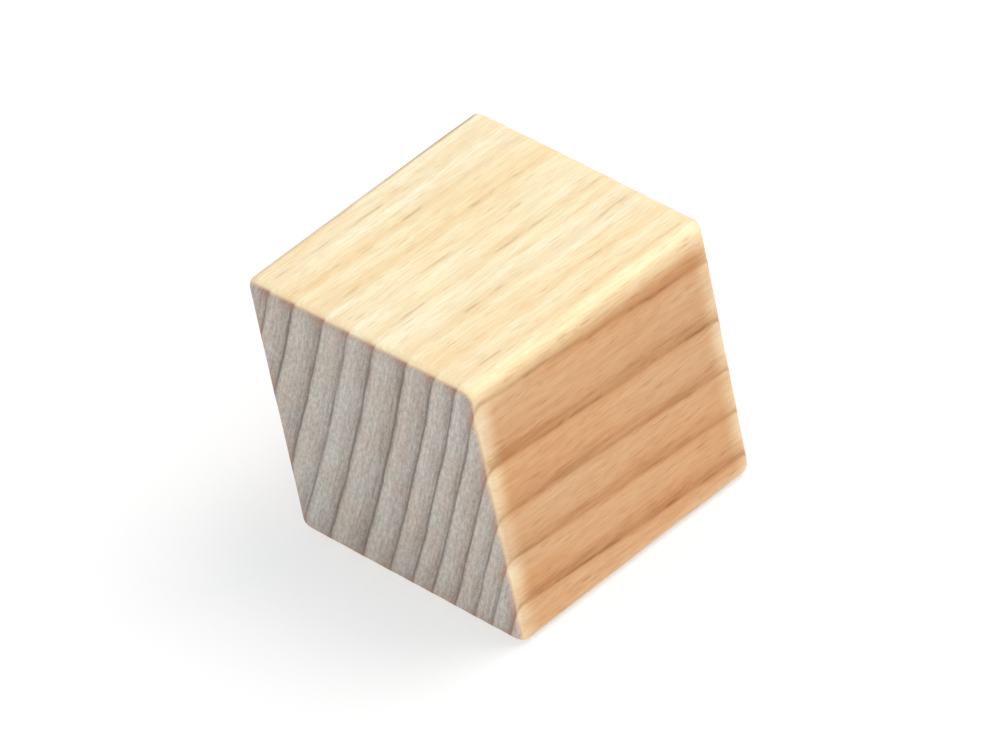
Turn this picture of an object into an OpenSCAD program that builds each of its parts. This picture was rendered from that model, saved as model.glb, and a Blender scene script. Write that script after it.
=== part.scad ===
// Wooden cube: a plain building and craft block of solid wood. It is sawn to length from
// a planed square strip whose four long edges are rounded, and its sawn ends are then
// sanded, which eases their edges by a little less. The grain runs along X, so the two
// X faces show end grain. The block stands on z = 0, centred in x and y.

/* [Block] */
// Side of the cube, face to face
cube_side = 30; // [10:1:60]

/* [Edges] */
// Radius planed on the four edges that run along the grain
grain_edge_r = 1.3; // [1.2:0.1:3]
// Radius sanded on the edges around the two sawn ends
end_edge_r = 1.0; // [0.2:0.1:1.1]

/* [Finish] */
// Colour of the bare wood
wood_color = "burlywood"; // [burlywood, tan, wheat, peru]

/* [Hidden] */
$fn = 96;
// Width of the flat that the planed radii leave on each long face
flat_w = cube_side - 2 * grain_edge_r;

// Rectangle of the given size, centred, with the sanded end radius on its corners
module eased_outline(across, along) {
    square([across - 2 * end_edge_r, along], center = true);
    square([across, along - 2 * end_edge_r], center = true);
    for (side = [-1, 1], tip = [-1, 1])
        translate([side * (across / 2 - end_edge_r), tip * (along / 2 - end_edge_r)])
            circle(r = end_edge_r);
}

// Slab through the whole block, under one pair of long faces and up to their flats
module face_slab() {
    rotate([90, 0, 0])
        linear_extrude(flat_w, center = true)
            eased_outline(cube_side, cube_side);
}

// Round bar along one long edge: the planed radius, with the sanded radius carried
// around its two ends
module edge_bar() {
    rotate([0, 90, 0])
        rotate_extrude()
            intersection() {
                eased_outline(2 * grain_edge_r, cube_side);
                translate([0, -cube_side / 2])
                    square([grain_edge_r, cube_side]);
            }
}

module wooden_cube() {
    color(wood_color)
        translate([0, 0, cube_side / 2])
            union() {
                for (turn = [0, 90])
                    rotate([turn, 0, 0])
                        face_slab();
                for (y = [-1, 1], z = [-1, 1])
                    translate([0, y * flat_w / 2, z * flat_w / 2])
                        edge_bar();
            }
}

wooden_cube();
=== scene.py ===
"""Looks for the wooden cube: one solid block of beech with end grain on its X faces.

The wood is drawn in the tree's own coordinates. Each vertex of the block knows how far it
lies along the fibres, outward from the pith and round it, so growth rings, rays and pores
run on from face to face as they do in solid wood.
"""

import math
from types import SimpleNamespace

import bpy
import numpy as np
from mathutils import Matrix, Vector, noise


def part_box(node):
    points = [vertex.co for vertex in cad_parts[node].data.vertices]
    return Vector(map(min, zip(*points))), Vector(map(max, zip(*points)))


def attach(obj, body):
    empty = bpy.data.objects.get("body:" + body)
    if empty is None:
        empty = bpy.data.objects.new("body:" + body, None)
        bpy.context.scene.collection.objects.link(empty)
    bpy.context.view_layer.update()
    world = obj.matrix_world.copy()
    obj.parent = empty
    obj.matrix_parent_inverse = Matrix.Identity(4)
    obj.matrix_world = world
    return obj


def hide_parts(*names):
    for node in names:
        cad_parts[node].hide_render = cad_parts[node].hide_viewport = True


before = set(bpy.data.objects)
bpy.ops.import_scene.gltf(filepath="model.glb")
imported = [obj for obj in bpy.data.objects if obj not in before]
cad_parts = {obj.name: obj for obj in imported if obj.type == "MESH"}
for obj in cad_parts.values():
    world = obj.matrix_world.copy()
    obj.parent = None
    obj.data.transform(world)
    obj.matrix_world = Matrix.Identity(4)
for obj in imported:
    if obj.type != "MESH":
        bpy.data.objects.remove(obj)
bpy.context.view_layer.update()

MM = 0.001

# ---------------------------------------------------------------- the block, in mm

LOWEST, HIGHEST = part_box("wooden_cube")
MIDDLE = (LOWEST + HIGHEST) / 2
HALF = (HIGHEST.x - LOWEST.x) / 2 / MM
PLANED_RADIUS = 1.3
SANDED_RADIUS = 1.0
# How much the two radii come and go along an edge, as a share, and over what length
PLANED_VARIES = 0.08
SANDED_VARIES = 0.07
VARIES_OVER = 7.0
# How much less the hard late wood's edge is sanded, as a share
SANDED_LESS_HARD = 0.03
# Mesh steps across a flat, and across half of each rounding
FLAT_STEPS = 100
PLANED_STEPS = 12
SANDED_STEPS = 9
# Depth to which the softest wood is sanded on the ends and on the sides
END_RING_RELIEF = 0.012
SIDE_RING_RELIEF = 0.006
# How sharply the one gives way to the other over an edge
RELIEF_TURN = 4
# The slow waves of the sanded faces
WAVE_RELIEF = 0.020
WAVE_LENGTH = 9.0
# Each smooth noise is moved by its seed times these steps, so that no two are alike
SEED_STEPS = (17.3, 5.1, 11.7)
PLANED_SEED, SANDED_SEED, WOBBLE_SEED, WAVE_SEED = 1, 2, 3, 4
# Keeps a length that divides another from being zero
TINY = 1e-9

# ---------------------------------------------------------------- the tree, in mm

# The pith lies far behind the block and somewhat above it, so the way outward from it
# points to the front and is tilted down by this much
PITH_DISTANCE = 460.0
OUTWARD_TILT = math.radians(24.2)
# The fibres drift sideways and down by this share of their length
DRIFT_Y = 0.028
DRIFT_Z = 0.010
# Widths of the growth rings, from the pith side outward, and where the first begins
RING_WIDTHS = (2.8, 3.1, 3.0, 3.7, 3.0, 3.2, 4.0, 3.3, 2.7, 2.4, 2.7, 2.3, 2.0, 2.2, 2.3, 2.2)
FIRST_RING = -22.5
# The rings aren't true circles: how far they stray, over what length, and how much of that
# each way, X first, because the waves are longer along the fibres
RING_WOBBLE = 0.15
RING_WOBBLE_LENGTH = 9.0
RING_WOBBLE_PACE = (0.35, 1, 1)
# Shares of a ring's growth by which it has turned soft, and from which it hardens again
SOFT_BY = 0.22
HARDENS_FROM = 0.35


# ---------------------------------------------------------------- the block's mesh


def noise_at(points, length, seed):
    """Smooth noise from -1 to 1 at each point, with waves about this long."""
    shift = Vector([seed * step for step in SEED_STEPS])
    return np.array([noise.noise(Vector(p) / length + shift) for p in points])


def grid_lines(radius, steps):
    """Places of the mesh lines along one axis: even over the flat, and closer over the
    rounding, where they divide the turn evenly."""
    flat = np.linspace(-(HALF - radius), HALF - radius, FLAT_STEPS + 1)
    turn = np.linspace(0, math.pi / 4, steps + 1)[1:]
    outer = HALF - radius + radius * np.tan(turn)
    return np.concatenate([-outer[::-1], flat, outer])


def sharp_cube():
    """Vertices, in mm from the middle, and quads of a cube with sharp edges."""
    along = grid_lines(SANDED_RADIUS, SANDED_STEPS)
    across = grid_lines(PLANED_RADIUS, PLANED_STEPS)
    skin = np.zeros((len(along), len(across), len(across)), bool)
    sides = [(axis, end) for axis in range(3) for end in (0, -1)]
    for axis, end in sides:
        np.moveaxis(skin, axis, 0)[end] = True
    number = np.full(skin.shape, -1)
    number[skin] = np.arange(skin.sum())
    i, j, k = np.argwhere(skin).T
    points = np.stack([along[i], across[j], across[k]], axis=1)
    quads = []
    for axis, end in sides:
        side = np.moveaxis(number, axis, 0)[end]
        corners = [side[:-1, :-1], side[1:, :-1], side[1:, 1:], side[:-1, 1:]]
        if (end == 0) != (axis == 1):
            corners.reverse()
        quads.append(np.stack([c.ravel() for c in corners], axis=1))
    return points, np.concatenate(quads)


def rounded(points):
    """The sharp cube's points moved onto the block, and the way each faces. A ball of the
    sanded radius rolls round an inner form whose long edges have the rest of the planed
    radius. The end edges of hard wood stay sharper."""
    hard = hardness(ring_age(wood_coordinates(points)))
    sanded = 1 + SANDED_VARIES * noise_at(points, VARIES_OVER, SANDED_SEED) - SANDED_LESS_HARD * hard
    sanded = SANDED_RADIUS * sanded[:, None]
    planed = 1 + PLANED_VARIES * noise_at(points, VARIES_OVER, PLANED_SEED)
    planed = PLANED_RADIUS * planed[:, None]
    core = np.clip(points[:, 1:], planed - HALF, HALF - planed)
    out = points[:, 1:] - core
    reach = np.linalg.norm(out, axis=1, keepdims=True)
    shorten = np.minimum(1, (planed - sanded) / np.maximum(reach, TINY))
    inner = np.hstack([np.clip(points[:, :1], sanded - HALF, HALF - sanded), core + out * shorten])
    facing = points - inner
    facing /= np.linalg.norm(facing, axis=1, keepdims=True)
    return inner + sanded * facing, facing


def wood_coordinates(points):
    """Each point's place in the tree: along the fibres, outward from the pith and round
    it, in mm from the block's middle."""
    x, y, z = points.T
    tilt_cos, tilt_sin = math.cos(OUTWARD_TILT), math.sin(OUTWARD_TILT)
    y, z = y + DRIFT_Y * (x + HALF), z + DRIFT_Z * (x + HALF)
    outward = -(y * tilt_cos + z * tilt_sin) + PITH_DISTANCE
    sideways = y * tilt_sin - z * tilt_cos
    wobble = RING_WOBBLE * noise_at(points * RING_WOBBLE_PACE, RING_WOBBLE_LENGTH, WOBBLE_SEED)
    radial = np.hypot(outward, sideways) - PITH_DISTANCE + wobble
    return np.stack([x, radial, np.arctan2(sideways, outward) * PITH_DISTANCE], axis=1)


def ring_age(wood):
    """Number of the growth ring at each point, with the share of it that has grown."""
    edges = FIRST_RING + np.concatenate([[0], np.cumsum(RING_WIDTHS)])
    return np.interp(wood[:, 1], edges, np.arange(len(edges)))


def hardness(age):
    """0 in soft early wood, up to 1 in the hard late wood that ends each ring."""
    grown = age % 1
    return smooth_step(grown, HARDENS_FROM, 1.0) + 1 - smooth_step(grown, 0.0, SOFT_BY)


def smooth_step(values, start, end):
    """Goes smoothly from 0 to 1 as each value goes from start to end."""
    share = np.clip((values - start) / (end - start), 0, 1)
    return share * share * (3 - 2 * share)


def relief(points, facing, age):
    """How far the surface lies below the true block: soft wood is sanded lower than hard,
    and most of all on the sawn ends."""
    on_end = facing[:, 0] ** RELIEF_TURN
    ring = (1 - hardness(age)) * (on_end * END_RING_RELIEF + (1 - on_end) * SIDE_RING_RELIEF)
    wave = WAVE_RELIEF * (0.5 + 0.5 * noise_at(points, WAVE_LENGTH, WAVE_SEED))
    return ring + wave


def store(mesh, name, kind, field, values):
    """Keeps one value for each vertex, for the material to read."""
    attribute = mesh.attributes.new(name, kind, "POINT")
    attribute.data.foreach_set(field, np.ascontiguousarray(values, np.float32).ravel())


def add_object(name, data):
    """A new object in the scene."""
    added = bpy.data.objects.new(name, data)
    bpy.context.scene.collection.objects.link(added)
    return added


def make_block():
    """The block, whose vertices keep their place in the tree and their ring's age."""
    sharp, quads = sharp_cube()
    points, facing = rounded(sharp)
    age = ring_age(wood_coordinates(points))
    points -= facing * relief(points, facing, age)[:, None]
    wood = wood_coordinates(points)
    mesh = bpy.data.meshes.new("beech_block")
    mesh.from_pydata((points * MM + np.array(MIDDLE)).tolist(), [], quads.tolist())
    mesh.polygons.foreach_set("use_smooth", np.ones(len(quads), bool))
    store(mesh, "wood", "FLOAT_VECTOR", "vector", wood)
    store(mesh, "age", "FLOAT", "value", ring_age(wood))
    mesh.update()
    return add_object("beech_block", mesh)


# ---------------------------------------------------------------- node helpers


def linear(red, green, blue):
    """A colour given as 0 to 255 on screen, as the linear colour that a node takes."""
    def channel(value):
        value /= 255
        return value / 12.92 if value <= 0.04045 else ((value + 0.055) / 1.055) ** 2.4
    return channel(red), channel(green), channel(blue), 1.0


def grey(level):
    """A grey of this level, as a colour."""
    return level, level, level, 1.0


class Nodes:
    """Adds nodes to a tree. A value may be a number, a colour or another node's output."""

    def __init__(self, tree):
        self.tree = tree
        tree.nodes.clear()

    def add(self, kind, inputs=None, **settings):
        """A new node with these inputs, by name or number, and these settings."""
        node = self.tree.nodes.new("ShaderNode" + kind)
        for name, value in settings.items():
            setattr(node, name, value)
        for name, value in (inputs or {}).items():
            self.feed(node.inputs[name], value)
        return node

    def feed(self, socket, value):
        """Links another node's output to the socket, or sets its value."""
        if isinstance(value, bpy.types.NodeSocket):
            self.tree.links.new(value, socket)
        else:
            socket.default_value = value

    def math(self, operation, first, second=0.0, third=0.0, clamp=False):
        inputs = {0: first, 1: second, 2: third}
        return self.add("Math", inputs, operation=operation, use_clamp=clamp).outputs[0]

    def times(self, first, second):
        return self.math("MULTIPLY", first, second)

    def swing(self, value, reach):
        """A value from 0 to 1 made to swing this far to either side of 0."""
        return self.math("MULTIPLY_ADD", value, 2 * reach, -reach)

    def attribute(self, name, output):
        return self.add("Attribute", attribute_name=name).outputs[output]

    def over(self, vector, lengths):
        """The vector with each part divided by a length, so that a pattern has that size."""
        return self.add("VectorMath", {0: vector, 1: lengths}, operation="DIVIDE").outputs[0]

    def noise(self, vector, lengths, detail, roughness):
        inputs = {"Vector": self.over(vector, lengths), "Scale": 1.0,
                  "Detail": detail, "Roughness": roughness}
        return self.add("TexNoise", inputs).outputs["Fac"]

    def marks(self, vector, lengths, edge, core, share):
        """A mark in this share of the cells at random, some fainter than others. It fades
        in from the edge to the core, both distances from the cell's own point."""
        cells = self.add("TexVoronoi", {"Vector": self.over(vector, lengths), "Scale": 1.0},
                         feature="F1")
        shape = self.fade(cells.outputs["Distance"], edge, core)
        chance = self.add("SeparateColor", {0: cells.outputs["Color"]}).outputs[0]
        return self.times(shape, self.fade(chance, 1 - share, 1.0))

    def fade(self, value, start, end, low=0.0, high=1.0):
        """Goes smoothly from low to high as the value goes from start to end."""
        inputs = {"Value": value, "From Min": start, "From Max": end,
                  "To Min": low, "To Max": high}
        return self.add("MapRange", inputs, interpolation_type="SMOOTHSTEP").outputs[0]

    def near_edge(self, out, starts, full, low=0.0, high=1.0):
        """Goes smoothly from low to high between two distances in from the block's edge,
        where out is the distance from its middle."""
        return self.fade(out, HALF - starts, HALF - full, low, high)

    def ramp(self, factor, stops):
        """A value that goes straight from stop to stop, each (place, value)."""
        node = self.add("ValToRGB", {"Fac": factor})
        elements = node.color_ramp.elements
        while len(elements) < len(stops):
            elements.new(0.5)
        for element, (place, value) in zip(elements, stops):
            element.position = place
            element.color = grey(value)
        return node.outputs["Color"]

    def mix(self, factor, low, high, blend_type="MIX"):
        """low where the factor is 0 and high where it is 1. 6, 7 and 2 are the node's
        colour sockets: two in, one out."""
        inputs = {0: factor, 6: low, 7: high}
        return self.add("Mix", inputs, data_type="RGBA", blend_type=blend_type).outputs[2]

    def tint(self, factor, colour, tint):
        """The colour multiplied by the tint where the factor is 1."""
        return self.mix(factor, colour, tint, "MULTIPLY")


def new_material(name):
    """A material, and the nodes that fill it."""
    material = bpy.data.materials.new(name)
    material.use_nodes = True
    return material, Nodes(material.node_tree)


# ---------------------------------------------------------------- the wood's patterns

# Noises: size in mm along the fibres, outward from the pith and round it, detail, roughness
NOISES = {
    # How unevenly a ring grows
    "waver": ((9.0, 2.0, 3.0), 1.0, 0.5),
    # Streaks along the grain, from wide to hair-thin
    "streaks": ((9.0, 1.1, 0.8), 3.0, 0.6),
    "strands": ((2.6, 0.34, 0.26), 2.0, 0.6),
    "fibres": ((2.2, 0.14, 0.12), 1.0, 0.5),
    # Slow changes of colour, on the sides and on the ends
    "tone": ((40.0, 5.0, 8.0), 2.0, 0.5),
    "hue": ((30.0, 3.0, 6.0), 1.0, 0.5),
    # Where a ring's end shows as a broken dark line
    "broken": ((4.0, 1.5, 1.5), 2.0, 0.6),
    # Thin layers within a ring, and the rough look of cut fibres, seen on the ends
    "layers": ((12.0, 0.26, 4.0), 2.0, 0.5),
    "grit": ((0.5, 0.12, 0.12), 2.0, 0.6),
    "mottle": ((3.0, 0.35, 0.80), 2.0, 0.6),
    # Where sanding has worn the edge more, and the band by the ends, partly painted light, is wider
    "worn": ((6.0, 2.5, 4.0), 2.0, 0.5),
}
# Marks, one to a cell: the cell's size as above, then the edge and core of the mark, as
# shares of the cell, and the share of the cells that have one
MARKS = {
    # Hair-thin tubes along the fibres, seen as dashes on the sides and dots on the ends
    "vessels": ((2.6, 0.19, 0.19), 0.42, 0.20, 0.7),
    # Thin sheets that run outward, seen as spindles on the flat-sawn faces
    "wide_rays": ((3.2, 40.0, 0.60), 0.30, 0.14, 0.6),
    "thin_rays": ((1.7, 18.0, 0.28), 0.34, 0.20, 0.5),
}
THIN_RAY_STRENGTH = 0.6

# How squarely a face must look inward or outward through the rings not to count as
# quarter-sawn any more, and to count as fully flat-sawn
FLAT_SAWN = (0.42, 0.92)
# How far a ring's age wavers, as a share of the ring
RING_WAVER = 0.04
# Strength of the weakest and the strongest year's tone, and of its end line
YEAR_TONE = (0.75, 1.0)
YEAR_LINE = (0.5, 1.0)

# Patterns through one ring, as (share grown, value). The tone goes from 0 for the palest
# wood to 1 for the darkest
RING_TONE = ((0.0, 0.95), (0.05, 0.45), (0.12, 0.08), (0.25, 0.0), (0.50, 0.24),
             (0.72, 0.44), (0.90, 0.72), (1.0, 1.0))
# The quarter-sawn faces are darkest before a ring ends, and have their dashes there
QUARTER_TONE = ((0.0, 0.30), (0.10, 0.0), (0.30, 0.25), (0.50, 0.38), (0.62, 0.62),
                (0.75, 1.0), (0.84, 1.0), (0.93, 0.6), (1.0, 0.30))
QUARTER_DASH = ((0.0, 0.0), (0.72, 0.0), (0.79, 0.65), (0.86, 0.0))
# The thin dark line where a ring ends
RING_LINE = ((0.0, 0.8), (0.04, 0.0), (0.92, 0.0), (0.99, 1.0))
# The dark band of late wood that the flat-sawn faces show before a ring ends
LATE_BAND = ((0.0, 0.5), (0.05, 0.0), (0.60, 0.0), (0.78, 0.35), (0.88, 1.0), (0.95, 1.0),
             (1.0, 0.5))
# How far the end grain reaches over the edge: least on soft early wood
RING_WEAR = ((0.0, 0.9), (0.08, 0.0), (1.0, 1.0))


def find_place(n, wood):
    """Which way each point faces, and how far it lies from the block's middle, in mm."""
    coordinates = n.add("TexCoord").outputs
    facing = coordinates["Normal"]
    bark = (0.0, -math.cos(OUTWARD_TILT), -math.sin(OUTWARD_TILT))
    toward_bark = n.add("VectorMath", {0: facing, 1: bark}, operation="DOT_PRODUCT").outputs["Value"]
    position = n.add("SeparateXYZ", {0: coordinates["Object"]}).outputs
    height = n.math("MULTIPLY_ADD", position["Z"], 1 / MM, -HALF)
    return SimpleNamespace(
        on_end=n.math("ABSOLUTE", n.add("SeparateXYZ", {0: facing}).outputs["X"]),
        flat_sawn=n.fade(n.math("ABSOLUTE", toward_bark), *FLAT_SAWN),
        in_front=n.math("LESS_THAN", position["Y"], 0.0),
        height=height,
        up=n.math("ABSOLUTE", height),
        across=n.math("ABSOLUTE", n.times(position["Y"], 1 / MM)),
        along=n.math("ABSOLUTE", n.add("SeparateXYZ", {0: wood}).outputs["X"]),
    )


def find_grain(n, wood):
    """The noises, vessels and rays of the wood."""
    grain = {name: n.noise(wood, *shape) for name, shape in NOISES.items()}
    grain.update({name: n.marks(wood, *shape) for name, shape in MARKS.items()})
    thin = n.times(grain["thin_rays"], THIN_RAY_STRENGTH)
    grain["rays"] = n.math("MAXIMUM", grain["wide_rays"], thin)
    return SimpleNamespace(**grain)


def find_rings(n, place, grain):
    """The growth rings, a little uneven, and each year of its own strength."""
    age = n.math("ADD", n.attribute("age", "Fac"), n.swing(grain.waver, RING_WAVER))
    grown = n.math("FRACT", age)
    year = n.add("TexWhiteNoise", {"W": n.math("FLOOR", age)}, noise_dimensions="1D").outputs["Value"]
    strength = n.fade(year, 0, 1, *YEAR_TONE)
    tone = n.times(n.ramp(grown, RING_TONE), strength)
    line = n.times(n.ramp(grown, RING_LINE), n.fade(year, 0, 1, *YEAR_LINE))
    quarter_tone = n.times(n.ramp(grown, QUARTER_TONE), strength)
    return SimpleNamespace(
        grown=grown,
        strength=strength,
        tone=tone,
        line=line,
        side_tone=n.mix(place.flat_sawn, quarter_tone, tone),
        dash=n.mix(place.flat_sawn, n.ramp(grown, QUARTER_DASH), line),
    )


# ---------------------------------------------------------------- the wood's material

# Long grain. A pair of shares is for the quarter-sawn and the flat-sawn faces. Four numbers
# are two values of a pattern, and the shares there
EARLY_WOOD = linear(252, 246, 218)
LATE_WOOD = linear(234, 204, 158)
RING_TONE_SHARES = (0.50, 1.0)
STREAK_SHARES = (0.40, 0.68, 0.0, 0.40)
STRAND_SHARES = (0.40, 0.70, 0.0, 0.38)
FIBRE_SHARES = (0.40, 0.75, 0.0, 0.30)
WARM_TINT = (1.0, 0.92, 0.82, 1.0)
WARM_TONE = (0.35, 0.65)
FLECK = linear(186, 138, 96)
VESSEL_SHARE = 0.24
RAY_SHARES = (0.06, 0.36)
LINE_SHARES = (0.05, 0.45)
DARK_GRAIN_TINT = (0.62, 0.55, 0.46, 1.0)
DARK_GRAIN_SHARES = (0.50, 0.66, 0.0, 0.9)
# The orange tint of the flat-sawn faces. A little of it is their own warmer colour, and most
# of it is painted shade, with warm light thrown back by a neighbouring cube. Its share falls
# toward their long edges, and more so under the top of the front face, which paints a lit band
# there: two distances in from the edge, in mm, and the shares
FLAT_SAWN_TINT_AND_SHADE = (0.72, 0.478, 0.355, 1.0)
TINT_AND_SHADE_BY_LONG_EDGE = (1.9, 0.3, 1.0, 0.62)
TINT_AND_SHADE_UNDER_TOP = (3.6, 1.1, 1.0, 0.25)
# Their late wood, made ragged by this share of a ring and broken by the streaks
LATE_BAND_TINT = (0.76, 0.69, 0.62, 1.0)
LATE_BAND_RAGGED = 0.18
LATE_BAND_BROKEN = (0.36, 0.60, 0.35, 1.0)
# The burnished wood by the ends: its colour and that colour's share, how much of the
# flat-sawn tint and painted shade is left, which is little, so that a painted lit band runs
# along the flat-sawn faces' upright edges, how far in from the ends it starts and is full,
# in mm, and how much of it there is where the edge is worn less and more
EDGE_WOOD = linear(255, 228, 190)
EDGE_SHARE = 0.22
EDGE_TINT_AND_SHADE = 0.28
EDGE_LINE_SHARES = (0.15, 0.70)
EDGE_WIDTH = (2.5, 0.3)
EDGE_WORN = (0.36, 0.60, 0.55, 1.0)
# End grain
END_EARLY = linear(214, 206, 195)
END_LATE = linear(152, 142, 133)
LAYER_SWING = 0.6
GRIT_SWING = 1.1
END_WARM_TINT = (1.0, 0.93, 0.90, 1.0)
END_WARM_HUE = (0.40, 0.60)
END_DARK_TINT = (0.79, 0.785, 0.79, 1.0)
END_DARK_MOTTLE = (0.36, 0.64)
END_LINE = linear(98, 85, 73)
END_LINE_SHARE = 0.62
END_VESSEL_SHARE = 0.45
END_RAY = linear(226, 216, 200)
END_RAY_SHARE = 0.20
# The end's rim, which sanding has warmed, and the dark late wood most
END_RIM = linear(184, 138, 116)
END_RIM_WIDTH = (2.0, 0.5)
END_RIM_SHARES = (0.0, 0.8, 0.10, 0.60)
# Where over the edge the end grain begins, by how squarely the surface faces along the
# grain, and the warm line there. The line and the end grain come later on soft early wood
WEAR_REACH = 0.12
END_BEGINS = (0.81, 0.96)
EDGE_LINE = linear(214, 158, 118)
EDGE_LINE_BEGINS = (0.68, 0.84, 0.0, 0.5)
# The bare, sanded surface
ROUGHNESS = 0.62
SPECULAR = 0.3
FIBRE_HEIGHT = 0.5
VESSEL_HEIGHT = -0.5
BUMP_STRENGTH = 0.5
BUMP_DEPTH = 0.03 * MM


def by_cut(n, place, quarter, flat):
    """One share on the quarter-sawn faces, and another on the flat-sawn ones."""
    return n.fade(place.flat_sawn, 0, 1, quarter, flat)


def find_tint_and_shade(n, place):
    """How much of the flat-sawn tint and painted shade each point has. Less of it near the long
    edges, and least under the top of the front face, paints a lit band there.
    """
    by_long_edge = n.near_edge(place.up, *TINT_AND_SHADE_BY_LONG_EDGE)
    # Painted light under the top edge, on the front face only
    under_top = n.near_edge(n.times(place.height, place.in_front), *TINT_AND_SHADE_UNDER_TOP)
    return n.times(n.times(place.flat_sawn, by_long_edge), under_top)


def bare_grain(n, place, grain, rings):
    """The long grain's pale colour, without the tint of the flat-sawn faces."""
    ring_tone = n.times(rings.side_tone, by_cut(n, place, *RING_TONE_SHARES))
    bare = n.mix(ring_tone, EARLY_WOOD, LATE_WOOD)
    bare = n.mix(n.fade(grain.streaks, *STREAK_SHARES), bare, LATE_WOOD)
    bare = n.mix(n.fade(grain.strands, *STRAND_SHARES), bare, LATE_WOOD)
    bare = n.mix(n.fade(grain.fibres, *FIBRE_SHARES), bare, LATE_WOOD)
    bare = n.tint(n.fade(grain.tone, *WARM_TONE), bare, WARM_TINT)
    bare = n.mix(n.times(grain.vessels, VESSEL_SHARE), bare, FLECK)
    return n.mix(n.times(grain.rays, by_cut(n, place, *RAY_SHARES)), bare, FLECK)


def long_face(n, place, grain, rings, bare, tint_and_shade):
    """Colour of the long faces, away from the ends."""
    # Painted shade on the flat-sawn faces, with a little of their own warmer colour
    face = n.tint(tint_and_shade, bare, FLAT_SAWN_TINT_AND_SHADE)
    face = n.mix(n.times(rings.line, by_cut(n, place, *LINE_SHARES)), face, FLECK)
    dashes = n.times(rings.dash, n.fade(grain.broken, *DARK_GRAIN_SHARES))
    return n.tint(dashes, face, DARK_GRAIN_TINT)


def burnished_edge_and_painted_light(n, place, rings, bare, tint_and_shade):
    """Colour of the long grain right by the ends: pale burnished wood, and on the flat-sawn
    faces little of their painted shade, which paints a lit band along their upright edges.
    """
    edge = n.mix(EDGE_SHARE, bare, EDGE_WOOD)
    edge = n.tint(n.times(tint_and_shade, EDGE_TINT_AND_SHADE), edge, FLAT_SAWN_TINT_AND_SHADE)
    return n.mix(n.times(rings.line, by_cut(n, place, *EDGE_LINE_SHARES)), edge, FLECK)


def find_late_bands(n, grain, rings, tint_and_shade):
    """How dark the flat-sawn faces' bands of late wood are."""
    ragged = n.math("ADD", rings.grown, n.swing(grain.strands, LATE_BAND_RAGGED))
    band = n.times(n.ramp(ragged, LATE_BAND), n.fade(grain.streaks, *LATE_BAND_BROKEN))
    return n.times(n.times(band, rings.strength), tint_and_shade)


def long_grain(n, place, grain, rings):
    """Colour of all the long grain. By the ends a pale band is partly burnished wood and partly
    painted light, where the flat-sawn faces keep little of their painted shade. Sanding has worn
    some stretches of the edge by the ends more than others."""
    tint_and_shade = find_tint_and_shade(n, place)
    bare = bare_grain(n, place, grain, rings)
    face = long_face(n, place, grain, rings, bare, tint_and_shade)
    edge = burnished_edge_and_painted_light(n, place, rings, bare, tint_and_shade)
    by_end = n.times(n.near_edge(place.along, *EDGE_WIDTH), n.fade(grain.worn, *EDGE_WORN))
    colour = n.mix(by_end, face, edge)
    return n.tint(find_late_bands(n, grain, rings, tint_and_shade), colour, LATE_BAND_TINT)


def end_grain(n, place, grain, rings):
    """Colour of the sawn ends, with a rim that sanding has warmed."""
    uneven = n.math("ADD", n.swing(grain.layers, LAYER_SWING), n.swing(grain.grit, GRIT_SWING))
    end = n.mix(n.math("ADD", rings.tone, uneven, clamp=True), END_EARLY, END_LATE)
    end = n.tint(n.fade(grain.hue, *END_WARM_HUE), end, END_WARM_TINT)
    end = n.tint(n.fade(grain.mottle, *END_DARK_MOTTLE), end, END_DARK_TINT)
    end = n.mix(n.times(rings.line, END_LINE_SHARE), end, END_LINE)
    end = n.mix(n.times(grain.vessels, END_VESSEL_SHARE), end, END_LINE)
    end = n.mix(n.times(grain.rays, END_RAY_SHARE), end, END_RAY)
    rim = n.near_edge(n.math("MAXIMUM", place.up, place.across), *END_RIM_WIDTH)
    return n.mix(n.times(rim, n.fade(rings.tone, *END_RIM_SHARES)), end, END_RIM)


def beech_material():
    """Raw beech: long grain, and end grain where the surface turns to the ends."""
    material, n = new_material("raw_beech")
    wood = n.attribute("wood", "Vector")
    place = find_place(n, wood)
    grain = find_grain(n, wood)
    rings = find_rings(n, place, grain)
    turned = n.math("MULTIPLY_ADD", n.ramp(rings.grown, RING_WEAR), WEAR_REACH, place.on_end)
    colour = long_grain(n, place, grain, rings)
    colour = n.mix(n.fade(turned, *EDGE_LINE_BEGINS), colour, EDGE_LINE)
    colour = n.mix(n.fade(turned, *END_BEGINS), colour, end_grain(n, place, grain, rings))
    height = n.math("ADD", n.times(grain.fibres, FIBRE_HEIGHT), n.times(grain.vessels, VESSEL_HEIGHT))
    bump = n.add("Bump", {"Height": height, "Strength": BUMP_STRENGTH, "Distance": BUMP_DEPTH})
    shader = n.add("BsdfPrincipled", {"Base Color": colour, "Normal": bump.outputs["Normal"],
                                      "Roughness": ROUGHNESS, "Specular IOR Level": SPECULAR})
    n.add("OutputMaterial", {"Surface": shader.outputs[0]})
    return material


# ---------------------------------------------------------------- floor, light and camera

FLOOR_HALF = 3.0
FLOOR_DROP = 0.02 * MM
# The floor that light bounces off, and the floor that is seen: a darker one that also
# glows, which together come out white
FLOOR_PAPER = grey(0.9)
FLOOR_SHADE = grey(0.45)
FLOOR_GLOW = 0.56
WHITE = grey(1.0)
SKY_COLOUR = (0.88, 0.95, 1.0, 1.0)
SKY_LIGHT = 0.50
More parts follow.
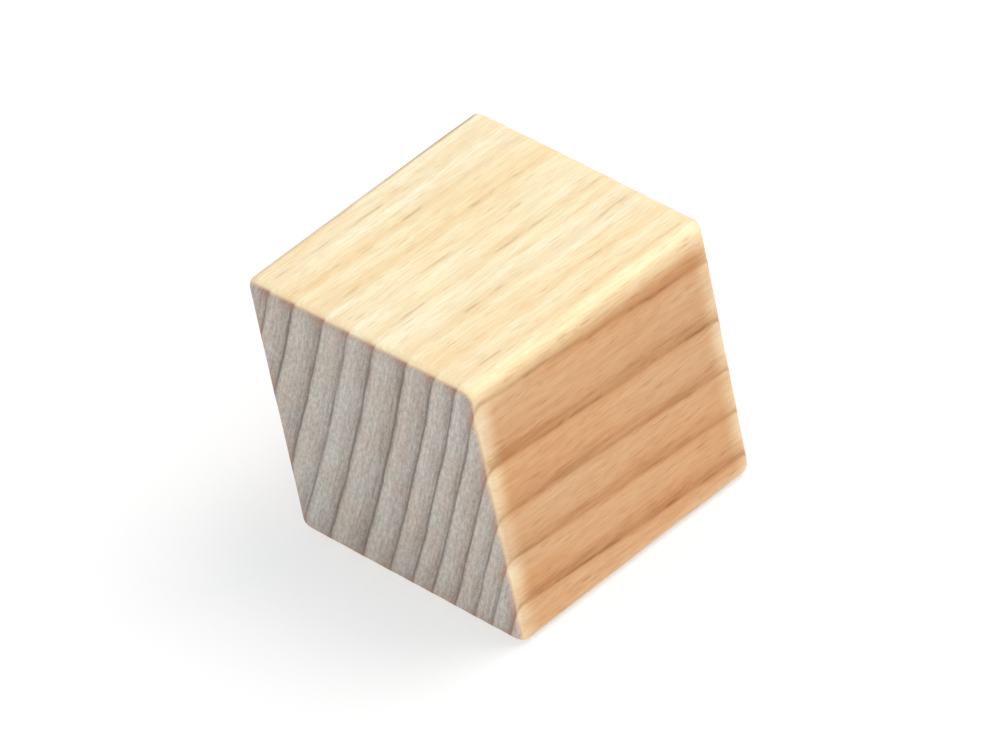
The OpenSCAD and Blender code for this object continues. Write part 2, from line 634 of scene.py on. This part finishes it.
# Name, azimuth and elevation in degrees, size in m, level and colour. Level 1 lights a
# surface that faces the lamp as much as a plain white world does
LAMPS = (
    ("key", 56, 62, 0.5, 0.66, (1.0, 0.97, 0.92)),
    ("side", 14, 16, 0.4, 0.06, (1.0, 0.84, 0.66)),
    ("front", -42, 18, 0.5, 0.20, (1.0, 0.97, 0.93)),
    ("fill", -80, 25, 0.5, 0.09, (1.0, 0.99, 0.97)),
)
LAMP_DISTANCE = 0.9
CAMERA_AZIMUTH = -36.8
CAMERA_ELEVATION = 38.3
CAMERA_ROLL = math.radians(-12.2)
CAMERA_DISTANCE = 0.97
CAMERA_LENS = 381.0
SENSOR_WIDTH = 36.0


def background_ray(n):
    """1 for a ray that should see the white background, 0 for one that carries light."""
    path = n.add("LightPath")
    seen = n.math("MAXIMUM", path.outputs["Is Camera Ray"], path.outputs["Is Glossy Ray"])
    return n.math("MAXIMUM", seen, path.outputs["Is Transmission Ray"])


def make_floor():
    """A plain white floor that keeps the block's shadow."""
    corners = [(-FLOOR_HALF, -FLOOR_HALF), (FLOOR_HALF, -FLOOR_HALF),
               (FLOOR_HALF, FLOOR_HALF), (-FLOOR_HALF, FLOOR_HALF)]
    mesh = bpy.data.meshes.new("floor")
    mesh.from_pydata([(x, y, LOWEST.z - FLOOR_DROP) for x, y in corners], [], [(0, 1, 2, 3)])
    material, n = new_material("white_floor")
    paper = n.add("BsdfDiffuse", {"Color": FLOOR_PAPER})
    shade = n.add("BsdfDiffuse", {"Color": FLOOR_SHADE})
    glow = n.add("Emission", {"Color": WHITE, "Strength": FLOOR_GLOW})
    seen = n.add("AddShader", {0: shade.outputs[0], 1: glow.outputs[0]})
    surface = n.add("MixShader", {0: background_ray(n), 1: paper.outputs[0], 2: seen.outputs[0]})
    n.add("OutputMaterial", {"Surface": surface.outputs[0]})
    mesh.materials.append(material)
    add_object("floor", mesh)


def make_world():
    """A soft pale sky that is seen as plain white."""
    world = bpy.data.worlds.new("studio")
    world.use_nodes = True
    bpy.context.scene.world = world
    n = Nodes(world.node_tree)
    light = n.add("Background", {"Color": SKY_COLOUR, "Strength": SKY_LIGHT})
    white = n.add("Background", {"Color": WHITE, "Strength": 1.0})
    surface = n.add("MixShader", {0: background_ray(n), 1: light.outputs[0], 2: white.outputs[0]})
    n.add("OutputWorld", {"Surface": surface.outputs[0]})


def direction(azimuth, elevation):
    """Unit vector towards a place at these degrees. Azimuth 0 is in front, at -Y."""
    a, e = math.radians(azimuth), math.radians(elevation)
    return Vector((math.sin(a) * math.cos(e), -math.cos(a) * math.cos(e), math.sin(e)))


def make_lamp(name, azimuth, elevation, size, level, colour):
    """A square soft light that points at the block."""
    data = bpy.data.lights.new(name, "AREA")
    data.size = size
    data.energy = level * (math.pi * LAMP_DISTANCE) ** 2
    data.color = colour
    lamp = add_object(name, data)
    back = direction(azimuth, elevation)
    lamp.location = MIDDLE + back * LAMP_DISTANCE
    lamp.rotation_euler = back.to_track_quat("Z", "Y").to_euler()


def make_camera():
    """The camera at the photo's angle, which looks at the block's middle."""
    data = bpy.data.cameras.new("camera")
    data.lens = CAMERA_LENS
    data.sensor_width = SENSOR_WIDTH
    camera = add_object("camera", data)
    back = direction(CAMERA_AZIMUTH, CAMERA_ELEVATION)
    turn = back.to_track_quat("Z", "Y").to_matrix() @ Matrix.Rotation(CAMERA_ROLL, 3, "Z")
    camera.location = MIDDLE + back * CAMERA_DISTANCE
    camera.rotation_euler = turn.to_euler()
    bpy.context.scene.camera = camera


# ---------------------------------------------------------------- the scene

make_camera()
block = make_block()
block.data.materials.append(beech_material())
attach(block, "root")
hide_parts("wooden_cube")
make_floor()
make_world()
for lamp_settings in LAMPS:
    make_lamp(*lamp_settings)
bpy.context.scene.view_settings.view_transform = "Standard"
